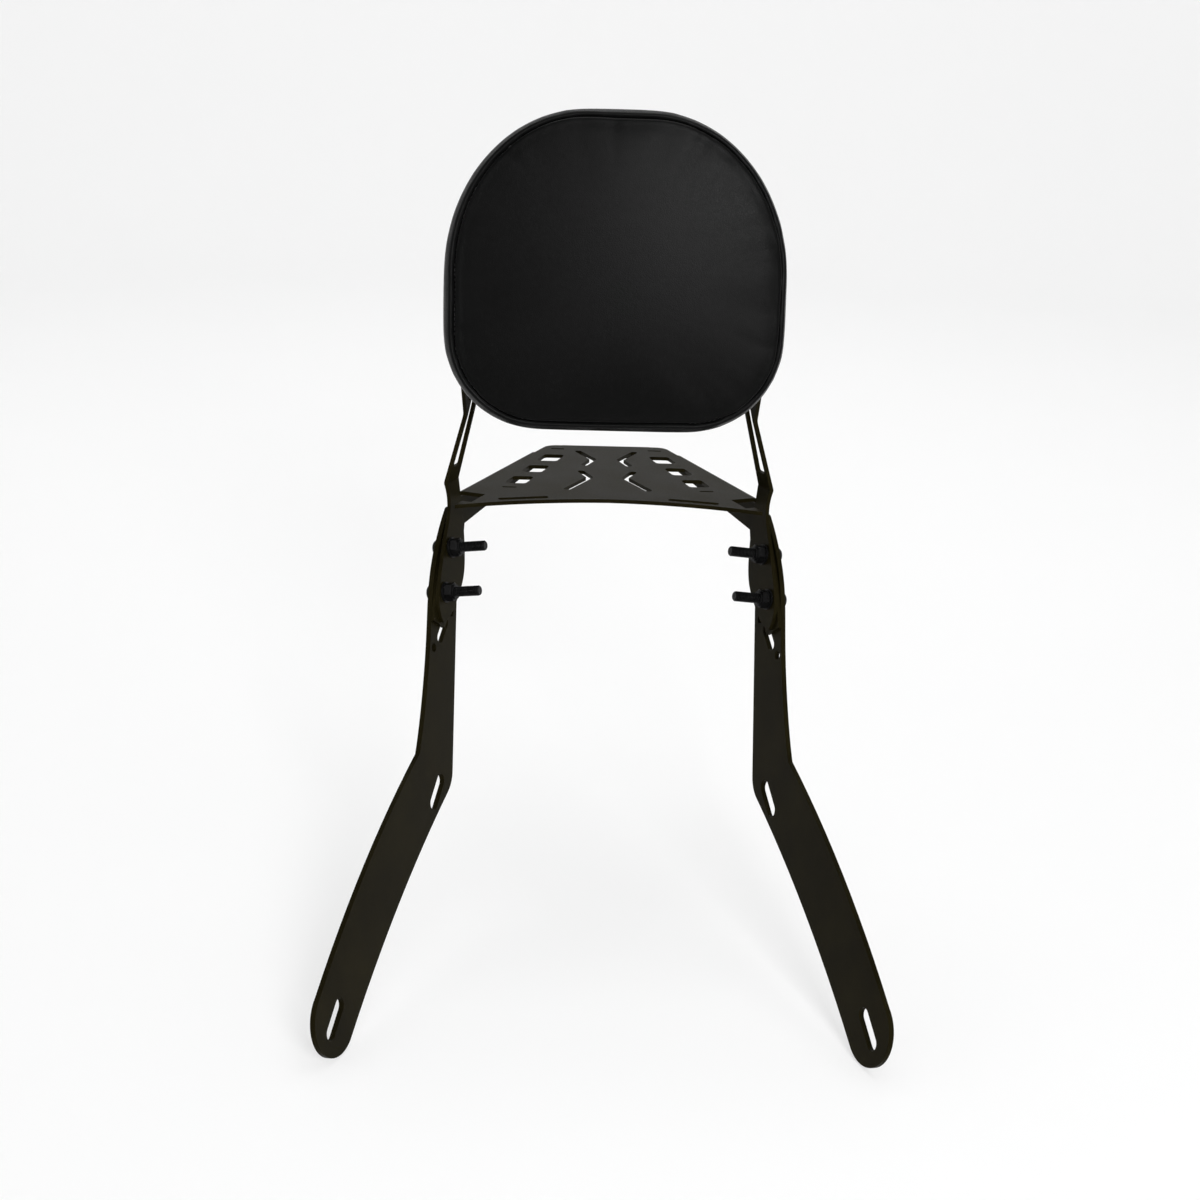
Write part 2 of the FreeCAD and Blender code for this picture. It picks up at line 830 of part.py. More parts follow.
def build():
    nodes = {"luggage_rack": luggage_rack(), "pad_cushion": pad_cushion(), "pad_base_board": pad_board()}
    right_arm = placed(arm(), side_matrix())
    right_upright = upright()
    nodes["right_arm"] = right_arm
    nodes["left_arm"] = mirrored(right_arm)
    nodes["right_upright"] = right_upright
    nodes["left_upright"] = mirrored(right_upright)
    for name, place in clamp_places().items():
        stack = {
            "clamp_bolt": at_clamp(clamp_bolt(), place, arm_outer),
            "clamp_washer": at_clamp(clamp_washer(), place, upright_inner),
            "clamp_nut": at_clamp(clamp_nut(), place, upright_inner + washer_thickness),
        }
        for piece, solid in stack.items():
            nodes["right_" + name + "_" + piece] = solid
            nodes["left_" + name + "_" + piece] = mirrored(solid)
    for name, place in all_tab_screws().items():
        seat = -upright_thickness - pad_washer_thickness
        nodes[name + "_pad_screw"] = at_pad(pad_screw(), place, seat)
        nodes[name + "_pad_washer"] = at_pad(pad_washer(), place, seat)
        nodes[name + "_tee_nut"] = at_pad(tee_nut(), place, 0)
    return nodes


os.makedirs("parts", exist_ok=True)
for node, shape in build().items():
    solids = shape.Solids
    if len(solids) != 1 or not shape.isValid():
        print("check", node, len(solids), shape.isValid())
    solids[0].exportStep("parts/" + node + ".step")
    print(node, round(solids[0].Volume))
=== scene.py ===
import bpy
import bmesh
import math
import numpy as np
from mathutils import Matrix, Vector
from mathutils.bvhtree import BVHTree


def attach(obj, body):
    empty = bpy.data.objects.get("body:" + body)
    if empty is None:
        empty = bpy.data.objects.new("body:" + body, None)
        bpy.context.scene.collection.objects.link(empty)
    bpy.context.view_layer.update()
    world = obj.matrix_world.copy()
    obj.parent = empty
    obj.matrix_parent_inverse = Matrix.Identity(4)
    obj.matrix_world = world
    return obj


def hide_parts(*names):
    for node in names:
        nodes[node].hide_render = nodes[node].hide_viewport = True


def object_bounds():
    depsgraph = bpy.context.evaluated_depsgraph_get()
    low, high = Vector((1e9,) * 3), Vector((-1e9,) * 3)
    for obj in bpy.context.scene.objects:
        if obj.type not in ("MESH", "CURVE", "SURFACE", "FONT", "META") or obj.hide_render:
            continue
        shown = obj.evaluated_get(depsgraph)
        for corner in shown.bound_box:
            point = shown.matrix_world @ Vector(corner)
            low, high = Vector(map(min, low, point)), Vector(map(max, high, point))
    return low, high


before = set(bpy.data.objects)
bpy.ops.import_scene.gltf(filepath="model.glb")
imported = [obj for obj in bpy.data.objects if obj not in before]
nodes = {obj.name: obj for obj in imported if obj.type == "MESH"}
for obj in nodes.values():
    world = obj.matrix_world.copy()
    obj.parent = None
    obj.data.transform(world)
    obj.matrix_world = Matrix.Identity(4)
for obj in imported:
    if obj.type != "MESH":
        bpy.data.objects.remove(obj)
cadLow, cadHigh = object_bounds()
scene = bpy.context.scene
scene.view_settings.view_transform = "Standard"
print("frame loaded,", len(nodes), "nodes")


# shader maths: one class round a socket

class Wire:
    def __init__(self, tree, out=None):
        self.tree = tree
        self.out = out

    def node(self, kind, settings=None, sockets=None, output=0):
        made = self.tree.nodes.new(kind)
        for key, value in (settings or {}).items():
            setattr(made, key, value)
        for key, value in (sockets or {}).items():
            if isinstance(value, Wire):
                self.tree.links.new(value.out, made.inputs[key])
            else:
                made.inputs[key].default_value = value
        return Wire(self.tree, made.outputs[output])

    def calc(self, operation, first, second):
        return self.node("ShaderNodeMath", {"operation": operation}, {0: first, 1: second})

    def __add__(self, other):
        return self.calc("ADD", self, other)

    def __sub__(self, other):
        return self.calc("SUBTRACT", self, other)

    def __rsub__(self, other):
        return self.calc("SUBTRACT", other, self)

    def __mul__(self, other):
        return self.calc("MULTIPLY", self, other)

    def noise(self, scale, detail=3.0):
        return self.node("ShaderNodeTexNoise", None,
                         {"Vector": self, "Scale": scale, "Detail": detail, "Roughness": 0.55})

    def shaken(self, share, scale):
        # these coordinates, taken a small share of the way to a noise
        noise = self.node("ShaderNodeTexNoise", None, {"Vector": self, "Scale": scale}, 1)
        return self.node("ShaderNodeMix", {"data_type": "VECTOR"}, {0: share, 4: self, 5: noise}, 1)

    def between(self, low, high):
        # the share of the way from low to high, kept inside 0 and 1
        return self.node("ShaderNodeMapRange", {"clamp": True},
                         {"Value": self, "From Min": low, "From Max": high})

    def around(self, middle, spread):
        # a value from 0 to 1, turned into one that spreads round a middle
        return self * spread + (middle - spread / 2)

    def blendColours(self, first, second):
        first, second = (value if isinstance(value, Wire) else (*value, 1) for value in (first, second))
        return self.node("ShaderNodeMix", {"data_type": "RGBA"}, {0: self, 6: first, 7: second}, 2)

    def bump(self, strength, distance, under=None):
        sockets = {"Height": self, "Strength": strength, "Distance": distance}
        if under:
            sockets["Normal"] = under
        return self.node("ShaderNodeBump", None, sockets)


def newFinish(name, fixed):
    material = bpy.data.materials.new(name)
    material.use_nodes = True
    tree = material.node_tree
    shader = tree.nodes["Principled BSDF"]
    for socket, value in fixed.items():
        shader.inputs[socket].default_value = value
    place = Wire(tree).node("ShaderNodeTexCoord", output="Object")
    return material, shader, place


def feed(shader, wires):
    for socket, wire in wires.items():
        wire.tree.links.new(wire.out, shader.inputs[socket])


powderCoat = {
    "dark": (0.0064, 0.0052, 0.0017), "light": (0.0110, 0.0091, 0.0033), "dust": (0.03, 0.028, 0.022),
    "cloudScale": 22.0, "cloudDetail": 4.0, "cloudRange": (0.35, 0.68),
    "peelScale": 620.0, "peelStrength": 0.35, "peelDistance": 0.00012, "peelRoughness": 0.10,
    "grainScale": 2600.0, "grainStrength": 0.3, "grainDistance": 0.00004, "fineDetail": 2.0,
    "speckScale": 1500.0, "speckDetail": 1.0, "speckRange": (0.74, 0.80), "speckShare": 0.55,
    "roughness": 0.40, "roughnessSpread": 0.16, "specular": 0.028, "tint": (1.0, 0.85, 0.55, 1.0),
}


def makePowderCoat():
    size = powderCoat
    material, shader, place = newFinish("satinPowderCoat", {
        "Specular IOR Level": size["specular"], "Specular Tint": size["tint"]})
    cloud = place.noise(size["cloudScale"], size["cloudDetail"])
    peel = place.noise(size["peelScale"], size["fineDetail"])
    grain = place.noise(size["grainScale"], size["fineDetail"])
    # lone dust specks caught in the coat
    speck = place.noise(size["speckScale"], size["speckDetail"]).between(*size["speckRange"])
    tone = cloud.between(*size["cloudRange"]).blendColours(size["dark"], size["light"])
    colour = (speck * size["speckShare"]).blendColours(tone, size["dust"])
    rough = cloud.around(size["roughness"], size["roughnessSpread"])
    rough = rough + (peel - 0.5) * size["peelRoughness"]
    normal = peel.bump(size["peelStrength"], size["peelDistance"])
    normal = grain.bump(size["grainStrength"], size["grainDistance"], normal)
    feed(shader, {"Base Color": colour, "Roughness": rough, "Normal": normal})
    return material


leatherette = {
    "dark": (0.0011, 0.0012, 0.0011), "light": (0.0022, 0.0023, 0.0023),
    "grainScale": 820.0, "grainStrength": 0.28, "grainDistance": 0.00012, "creaseShadeShare": 0.3,
    "creaseWidth": 0.16, "creaseRoughness": 0.12,
    "driftScale": 240.0, "driftShare": 0.0022, "driftRoughness": 0.06,
    "poreScale": 2100.0, "poreStrength": 0.25, "poreDistance": 0.00005, "fineDetail": 2.0,
    "cloudScale": 14.0, "cloudDetail": 4.0, "cloudRange": (0.3, 0.7), "cloudShare": 0.7,
    "roughness": 0.34, "roughnessSpread": 0.07, "specular": 0.062,
}


def makeLeatherette():
    size = leatherette
    material, shader, place = newFinish("padLeatherette", {"Specular IOR Level": size["specular"]})
    drift = place.noise(size["driftScale"], size["fineDetail"])
    bent = place.shaken(size["driftShare"], size["driftScale"])
    cells = place.node("ShaderNodeTexVoronoi", {"feature": "DISTANCE_TO_EDGE"},
                       {"Vector": bent, "Scale": size["grainScale"]})
    pebble = cells.between(0.0, size["creaseWidth"])
    pore = place.noise(size["poreScale"], size["fineDetail"])
    cloud = place.noise(size["cloudScale"], size["cloudDetail"])
    # painted shade: the grain's creases are painted darker, laid over the cover's random cloudy tone
    share = cloud.between(*size["cloudRange"]) * size["cloudShare"] + pebble * size["creaseShadeShare"]
    tone = share.blendColours(size["dark"], size["light"])
    rough = cloud.around(size["roughness"], size["roughnessSpread"])
    rough = rough + (1 - pebble) * size["creaseRoughness"] + (drift - 0.5) * size["driftRoughness"]
    normal = pebble.bump(size["grainStrength"], size["grainDistance"])
    normal = pore.bump(size["poreStrength"], size["poreDistance"], normal)
    feed(shader, {"Base Color": tone, "Roughness": rough, "Normal": normal})
    return material


blackZinc = {
    "dark": (0.0025, 0.0025, 0.0026), "light": (0.0070, 0.0070, 0.0072),
    "cloudScale": 90.0, "cloudDetail": 5.0, "cloudRange": (0.35, 0.65),
    "fineScale": 3200.0, "fineDetail": 2.0, "fineStrength": 0.2, "fineDistance": 0.00003,
    "roughness": 0.30, "roughnessSpread": 0.2, "metallic": 0.1, "specular": 0.085,
}
zincSteel = {
    "dark": (0.46, 0.46, 0.45), "light": (0.62, 0.62, 0.60),
    "cloudScale": 160.0, "cloudDetail": 5.0, "cloudRange": (0.35, 0.65),
    "fineScale": 2400.0, "fineDetail": 3.0, "fineStrength": 0.15, "fineDistance": 0.00003,
    "roughness": 0.365, "roughnessSpread": 0.25, "metallic": 1.0, "specular": 0.5,
}


def makeZinc(name, size):
    material, shader, place = newFinish(name, {
        "Metallic": size["metallic"], "Specular IOR Level": size["specular"]})
    cloud = place.noise(size["cloudScale"], size["cloudDetail"])
    fine = place.noise(size["fineScale"], size["fineDetail"])
    tone = cloud.between(*size["cloudRange"]).blendColours(size["dark"], size["light"])
    rough = cloud.around(size["roughness"], size["roughnessSpread"])
    normal = fine.bump(size["fineStrength"], size["fineDistance"])
    feed(shader, {"Base Color": tone, "Roughness": rough, "Normal": normal})
    return material


boardFinish = {
    "dark": (0.006, 0.006, 0.0062), "light": (0.011, 0.011, 0.0112),
    "grainScale": 900.0, "grainStrength": 0.45, "grainDistance": 0.00014,
    "cloudScale": 30.0, "cloudDetail": 4.0, "cloudRange": (0.3, 0.7),
    "roughness": 0.58, "roughnessSpread": 0.16, "specular": 0.2,
}


def makeBoardFinish():
    size = boardFinish
    material, shader, place = newFinish("grainedBoard", {"Specular IOR Level": size["specular"]})
    cells = place.node("ShaderNodeTexVoronoi", {"feature": "SMOOTH_F1"},
                       {"Vector": place, "Scale": size["grainScale"]})
    cloud = place.noise(size["cloudScale"], size["cloudDetail"])
    tone = cloud.between(*size["cloudRange"]).blendColours(size["dark"], size["light"])
    rough = cloud.around(size["roughness"], size["roughnessSpread"])
    normal = cells.bump(size["grainStrength"], size["grainDistance"])
    feed(shader, {"Base Color": tone, "Roughness": rough, "Normal": normal})
    return material


threadFinish = {
    "dark": (0.010, 0.010, 0.0105), "light": (0.026, 0.026, 0.027),
    "twistScale": 900.0, "twistDistortion": 1.0, "twistStrength": 0.4, "twistDistance": 0.00008,
    "roughness": 0.61, "roughnessSpread": 0.12, "specular": 0.35, "sheen": 0.2,
}


def makeThread():
    size = threadFinish
    material, shader, place = newFinish("seamThread", {
        "Specular IOR Level": size["specular"], "Sheen Weight": size["sheen"]})
    twist = place.node("ShaderNodeTexWave", {"bands_direction": "DIAGONAL"}, {
        "Vector": place, "Scale": size["twistScale"], "Distortion": size["twistDistortion"]})
    # painted shade: the thread is painted darker in the grooves of its twist, where the bump sinks
    tone = twist.blendColours(size["dark"], size["light"])
    rough = twist.around(size["roughness"], size["roughnessSpread"])
    normal = twist.bump(size["twistStrength"], size["twistDistance"])
    feed(shader, {"Base Color": tone, "Roughness": rough, "Normal": normal})
    return material


coatMaterial = makePowderCoat()
padMaterial = makeLeatherette()
zincMaterial = makeZinc("blackZinc", blackZinc)
steelMaterial = makeZinc("zincSteel", zincSteel)
boardMaterial = makeBoardFinish()
threadMaterial = makeThread()
print("finishes made")


# plain helpers for meshes

def newPiece(name, mesh, material):
    piece = bpy.data.objects.new(name, mesh)
    scene.collection.objects.link(piece)
    mesh.materials.clear()
    mesh.materials.append(material)
    return piece


def settled(piece):
    # the piece's modifiers, made part of a plain mesh
    graph = bpy.context.evaluated_depsgraph_get()
    mesh = bpy.data.meshes.new_from_object(piece.evaluated_get(graph))
    old = piece.data
    piece.modifiers.clear()
    piece.data = mesh
    bpy.data.meshes.remove(old)
    return piece


def smoothFaces(mesh):
    for polygon in mesh.polygons:
        polygon.use_smooth = True


def ringFaces(rings, steps, first=0):
    # quads between rings of points that follow each other
    faces = []
    for ring in range(rings - 1):
        low = first + ring * steps
        high = low + steps
        for k in range(steps):
            after = (k + 1) % steps
            faces.append((low + k, high + k, high + after, low + after))
    return faces


edgeSize = {
    "merge": 2e-6, "flat": math.radians(0.15), "sharp": math.radians(32.0), "segments": 2, "weight": 100,
}


def mergedCopy(nodeNames):
    # a copy of CAD solids whose faces share their points
    shape = bmesh.new()
    for nodeName in nodeNames:
        shape.from_mesh(nodes[nodeName].data)
    bmesh.ops.remove_doubles(shape, verts=shape.verts, dist=edgeSize["merge"])
    return shape


def softEdged(name, nodeNames, width, material):
    # a copy of CAD solids whose edges get the small round of a deburred and coated edge
    shape = mergedCopy(nodeNames)
    bmesh.ops.dissolve_limit(shape, angle_limit=edgeSize["flat"], verts=shape.verts, edges=shape.edges,
                             use_dissolve_boundaries=False)
    mesh = bpy.data.meshes.new(name)
    shape.to_mesh(mesh)
    shape.free()
    piece = newPiece(name, mesh, material)
    smoothFaces(mesh)
    bevel = piece.modifiers.new("edgeRound", "BEVEL")
    bevel.width = width
    bevel.segments = edgeSize["segments"]
    bevel.limit_method = "ANGLE"
    bevel.angle_limit = edgeSize["sharp"]
    bevel.miter_outer = "MITER_SHARP"
    flat = piece.modifiers.new("flatFaces", "WEIGHTED_NORMAL")  # keeps the broad faces even
    flat.mode = "FACE_AREA"
    flat.weight = edgeSize["weight"]
    settled(piece)
    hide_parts(*nodeNames)
    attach(piece, "root")
    return piece


sides = ("right", "left")
levels = ("upper", "lower")
plateEdges = {"luggage_rack": 0.0005, "arm": 0.0007, "upright": 0.0005}
softEdged("rackPlate", ["luggage_rack"], plateEdges["luggage_rack"], coatMaterial)
for side in sides:
    softEdged(side + "ArmPlate", [side + "_arm"], plateEdges["arm"], coatMaterial)
    softEdged(side + "UprightPlate", [side + "_upright"], plateEdges["upright"], coatMaterial)
print("plates softened")

smallEdges = {"clamp_nut": 0.0002, "clamp_washer": 0.0002, "pad_screw": 0.00015, "pad_washer": 0.00015}
for kind, width in smallEdges.items():
    kindName = "".join(word.capitalize() for word in kind.split("_"))
    for side in sides:
        for level in levels:
            nodeName = side + "_" + level + "_" + kind
            softEdged(side + level.capitalize() + kindName, [nodeName], width, zincMaterial)
for side in sides:
    for level in levels:
        teeNut = nodes[side + "_" + level + "_tee_nut"].data
        teeNut.materials.clear()
        teeNut.materials.append(steelMaterial)
boardEdge = 0.0008
softEdged("padBoard", ["pad_base_board"], boardEdge, boardMaterial)
print("small pieces softened")


# clamp bolts with cut threads

boltSize = {
    "radius": 0.004, "pitch": 0.00125, "threadDepth": 0.00068, "threadFrom": 0.012, "runOut": 0.0006,
    "toothSlope": 1.35, "toothFlat": 0.15, "chamfer": 0.0008, "endShare": 0.6,
    "headRadius": 0.007, "headHeight": 0.0044, "headFoot": 0.0005, "rimRound": 0.0002,
    "crownRadius": 0.0039, "crownSteps": 8, "keyRadius": 0.0029, "keyDepth": 0.0026, "keyRim": 0.00025,
    "turnSteps": 28, "ringsPerPitch": 8, "sharp": math.radians(40),
}
sideAngles = {"toe": math.radians(22.0), "lean": math.radians(11.0)}


def sideFrame(sign):
    # forward, up and inward directions of a side plane
    toe, lean = sideAngles["toe"], sideAngles["lean"]
    forward = np.array((sign * math.sin(toe), -math.cos(toe), 0.0))
    up = np.array((sign * math.sin(lean) * math.cos(toe), math.sin(lean) * math.sin(toe), math.cos(lean)))
    return forward, up, np.cross(forward, up) * sign


def boltRings(length):
    # (height, radius, kind) from the socket's floor, over the head and down the thread
    size = boltSize
    top = -size["headHeight"]
    rings = [(top + size["keyDepth"], size["keyRadius"], "hex"),
             (top + size["keyRim"], size["keyRadius"], "hex"),
             (top, size["keyRadius"] + size["rimRound"], "hex"),
             (top, size["crownRadius"], "round")]
    for k in range(1, size["crownSteps"] + 1):
        turn = math.radians(90 * k / size["crownSteps"])
        radius = size["crownRadius"] + (size["headRadius"] - size["crownRadius"]) * math.sin(turn)
        height = top + (size["headHeight"] - size["headFoot"]) * (1 - math.cos(turn))
        rings.append((height, radius, "round"))
    rings += [(-size["rimRound"], size["headRadius"], "round"),
              (0.0, size["headRadius"] - size["rimRound"], "round"),
              (0.0, size["radius"], "round"),
              (size["threadFrom"] - size["runOut"], size["radius"], "round")]
    threaded = length - size["threadFrom"]
    count = int(threaded / (size["pitch"] / size["ringsPerPitch"]))
    for k in range(count + 1):
        rings.append((size["threadFrom"] + threaded * k / count, size["radius"], "thread"))
    rings.append((length, size["endShare"] * size["radius"], "round"))
    return rings


def boltMesh(name, length):
    size = boltSize
    steps = size["turnSteps"]
    turns = np.arange(steps) * 2 * math.pi / steps
    points = []
    for height, radius, kind in boltRings(length):
        reach = np.full(turns.shape, radius)
        if kind == "hex":
            reach = radius * math.cos(math.pi / 6) / np.cos((turns % (math.pi / 3)) - math.pi / 6)
        if kind == "thread":
            share = (height / size["pitch"] - turns / (2 * math.pi)) % 1.0
            tooth = np.clip(np.abs(2 * share - 1) * size["toothSlope"] - size["toothFlat"], 0, 1)
            run = np.clip((height - size["threadFrom"]) / size["pitch"], 0, 1)
            over = max(0.0, height - (length - size["chamfer"]))
            reach = np.minimum(radius - size["threadDepth"] * tooth * run, radius - over)
        heights = np.full(turns.shape, height)
        points.append(np.stack((reach * np.cos(turns), reach * np.sin(turns), heights), 1))
    count = len(points)
    faces = ringFaces(count, steps)
    faces.append(tuple(range(steps)))
    faces.append(tuple(range((count - 1) * steps, count * steps)))
    mesh = bpy.data.meshes.new(name)
    mesh.from_pydata(np.concatenate(points).tolist(), [], faces)
    return mesh


def placeBolt(name, nodeName, sign):
    corners = np.array([vertex.co for vertex in nodes[nodeName].data.vertices])
    forward, up, inward = sideFrame(sign)
    spans = [corners @ axis for axis in (forward, up, inward)]
    middle = [(span.min() + span.max()) / 2 for span in spans[:2]]
    length = spans[2].max() - spans[2].min() - boltSize["headHeight"]
    seat = spans[2].min() + boltSize["headHeight"]
    mesh = boltMesh(name, length)
    origin = middle[0] * forward + middle[1] * up + seat * inward
    rows = [[forward[k], up[k] * sign, inward[k], origin[k]] for k in range(3)]
    mesh.transform(Matrix(rows + [[0, 0, 0, 1]]))
    shape = bmesh.new()
    shape.from_mesh(mesh)
    bmesh.ops.recalc_face_normals(shape, faces=shape.faces)
    shape.to_mesh(mesh)
    shape.free()
    smoothFaces(mesh)
    mesh.set_sharp_from_angle(angle=boltSize["sharp"])
    piece = newPiece(name, mesh, zincMaterial)
    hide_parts(nodeName)
    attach(piece, "root")


for sign, side in ((1, "right"), (-1, "left")):
    for level in levels:
        placeBolt(side + level.capitalize() + "ClampBolt", side + "_" + level + "_clamp_bolt", sign)
print("bolts cut")


# the pad: a stuffed cover with one seam round its front panel

padSize = {
    "lean": math.radians(9.0), "backSet": -0.0192, "bottom": 0.060, "width": 0.255, "height": 0.235,
    "lowCorner": (0.071, 0.072), "highCorner": (0.105, 0.120), "cornerSteps": 80, "steps": 300,
    "panelRings": 20, "panelGap": 0.7, "panelMiddle": 0.48, "panelLift": 0.05, "castReach": 0.03,
}
stuffing = {
    "voxel": 0.005, "pressure": 5.0, "frames": 20, "quality": 6, "mass": 0.3, "bending": 2.0, "cap": 0.011,
    "heldBack": 0.010, "heldFront": 0.038, "heldBeside": 0.0032, "seamSteps": 400,
    "calmFactor": 0.5, "calmRounds": 8,
}
seamSize = {
    "inset": 0.0064, "shift": 0.0020, "rows": 8, "wobbles": ((0.0005, 3, 0.7), (0.0003, 7, 2.1)),
    "depth": 0.0030, "width": 0.0011, "ridge": 0.0008, "ridgePlace": 3.0, "ridgeWidth": 1.6,
    "sewnBefore": 8, "sewnAfter": 16,
}
pullSize = {
    "seed": 11, "count": 40, "depth": 0.0006, "reach": 0.012, "widths": (1.0, 2.6), "strengths": (0.2, 1.0),
    "limit": 1.3, "bandShare": 0.5, "bandStep": 3,
}
# rows of the cover in millimetres: the inset from the outline and the height over the back
padBack = (
    (8.6, 8.6), (8.6, 5.0), (8.6, 1.2), (8.0, 0.3), (5.5, 0.05), (3.0, 0.1), (1.3, 0.8), (0.4, 2.2),
    (0.05, 5.0),
)
# these rows are cast on the stuffed block, along a slope in degrees from sideways 0 to straight back 90
padBand = (
    (0.0, 9.0, 0), (0.0, 13.0, 0), (0.0, 17.0, 0), (0.0, 21.0, 0), (0.0, 25.0, 0), (0.0, 29.0, 0),
    (0.0, 33.0, 0), (0.5, 36.5, 8), (1.2, 39.5, 18), (2.2, 42.2, 30), (3.2, 44.2, 42), (4.2, 45.6, 50),
    (5.0, 46.4, 56), (5.5, 46.8, 60), (6.0, 47.2, 63),
)
padSeam = ((6.4, 47.5, 65),)
padPanel = (
    (6.8, 47.8, 67), (7.3, 48.1, 70), (8.0, 48.5, 74), (9.2, 49.1, 80), (11.2, 49.9, 85), (14.0, 50.5, 90),
    (17.5, 51.1, 90), (21.5, 51.6, 90),
)


def padOutline(inset, steps):
    # evenly spaced places round the pad's outline, counter-clockwise as seen from the front
    half = padSize["width"] / 2 - inset
    low = padSize["bottom"] + inset
    high = padSize["bottom"] + padSize["height"] - inset
    small = [reach - inset for reach in padSize["lowCorner"]]
    large = [reach - inset for reach in padSize["highCorner"]]
    corners = ((half - small[0], low + small[1], small, -90), (half - large[0], high - large[1], large, 0),
               (large[0] - half, high - large[1], large, 90), (small[0] - half, low + small[1], small, 180))
    dense = []
    for x, v, reach, start in corners:
        for k in range(padSize["cornerSteps"] + 1):
            turn = math.radians(start + 90 * k / padSize["cornerSteps"])
            dense.append((x + reach[0] * math.cos(turn), v + reach[1] * math.sin(turn)))
    dense.append(dense[0])
    dense = np.array(dense)
    run = np.concatenate(([0], np.cumsum(np.hypot(*np.diff(dense, axis=0).T))))
    places = np.linspace(0, run[-1], steps, endpoint=False)
    return np.stack((np.interp(places, run, dense[:, 0]), np.interp(places, run, dense[:, 1])), 1)


def fromPadFrame(points):
    # x across, v up the pad's back, n out of its front
    lean = padSize["lean"]
    x, v, n = points[..., 0], points[..., 1], points[..., 2]
    y = padSize["backSet"] + v * math.sin(lean) - n * math.cos(lean)
    z = v * math.cos(lean) + n * math.sin(lean)
    return np.stack((x, y, z), -1)


def intoPadFrame(points):
    lean = padSize["lean"]
    x, y, z = points[..., 0], points[..., 1] - padSize["backSet"], points[..., 2]
    v = y * math.sin(lean) + z * math.cos(lean)
    n = z * math.sin(lean) - y * math.cos(lean)
    return np.stack((x, v, n), -1)


def meshPoints(mesh):
    return np.array([vertex.co for vertex in mesh.vertices])


def holdBlock(block, local):
    # the cloth can't move at its back and along the seam
    seam = padOutline(seamSize["inset"], stuffing["seamSteps"])
    away = np.min(np.hypot(local[:, None, 0] - seam[None, :, 0], local[:, None, 1] - seam[None, :, 1]), axis=1)
    back = local[:, 2] < stuffing["heldBack"]
    sewn = (local[:, 2] > stuffing["heldFront"]) & (away < stuffing["heldBeside"])
    group = block.vertex_groups.new(name="held")
    group.add([int(k) for k in np.where(back | sewn)[0]], 1.0, "REPLACE")


def blowUp(block, start):
    cloth = block.modifiers.new("stuffing", "CLOTH")
    setup = cloth.settings
    setup.quality = stuffing["quality"]
    setup.mass = stuffing["mass"]
    setup.bending_stiffness = stuffing["bending"]
    setup.use_pressure = True
    setup.uniform_pressure_force = stuffing["pressure"]
    setup.vertex_group_mass = "held"
    setup.effector_weights.gravity = 0
    cloth.point_cache.frame_start = 1
    cloth.point_cache.frame_end = stuffing["frames"]
    for step in range(1, stuffing["frames"] + 1):
        scene.frame_set(step)
    settled(block)
    scene.frame_set(1)
    moved = meshPoints(block.data) - start
    far = np.linalg.norm(moved, axis=1)
    print("stuffing moved the cover by up to", round(1000 * far.max(), 2), "mm")
    capped = start + moved * np.minimum(1, stuffing["cap"] / np.maximum(far, 1e-9))[:, None]
    block.data.vertices.foreach_set("co", capped.astype(np.float32).ravel())


def stuffedBlock():
    # the plain block, remeshed evenly and blown up by its filling
    shape = mergedCopy(["pad_cushion"])
    mesh = bpy.data.meshes.new("padBlock")
    shape.to_mesh(mesh)
    shape.free()
    block = newPiece("padBlock", mesh, padMaterial)
    even = block.modifiers.new("even", "REMESH")
    even.mode = "VOXEL"
    even.voxel_size = stuffing["voxel"]
    settled(block)
    start = meshPoints(block.data)
    holdBlock(block, intoPadFrame(start))
    blowUp(block, start)
    calm = block.modifiers.new("calm", "SMOOTH")
    calm.factor = stuffing["calmFactor"]
    calm.iterations = stuffing["calmRounds"]
    settled(block)
    return block


def seamPulls():
    # how deep the pull marks are, step by step round the seam
    pick = np.random.default_rng(pullSize["seed"])
    steps = padSize["steps"]
    depth = np.zeros(steps)
    for _ in range(pullSize["count"]):
        spot = pick.uniform(0, steps)
        width = pick.uniform(*pullSize["widths"])
        away = np.abs((np.arange(steps) - spot + steps / 2) % steps - steps / 2)
        depth += pick.uniform(*pullSize["strengths"]) * np.exp(-(away / width) ** 2)
    return np.minimum(depth, pullSize["limit"]) * pullSize["depth"]


def castOn(tree, aims, ways):
    # where lines through the aims meet the stuffed block
    found = []
    reach = padSize["castReach"]
    starts = fromPadFrame(aims - ways * reach)
    ends = fromPadFrame(aims + ways * reach)
    for start, end, aim in zip(starts, ends, fromPadFrame(aims)):
        hit = tree.ray_cast(Vector(start), Vector(end - start).normalized(), 2 * reach)[0]
        found.append(hit if hit else aim)
    return intoPadFrame(np.array(found))


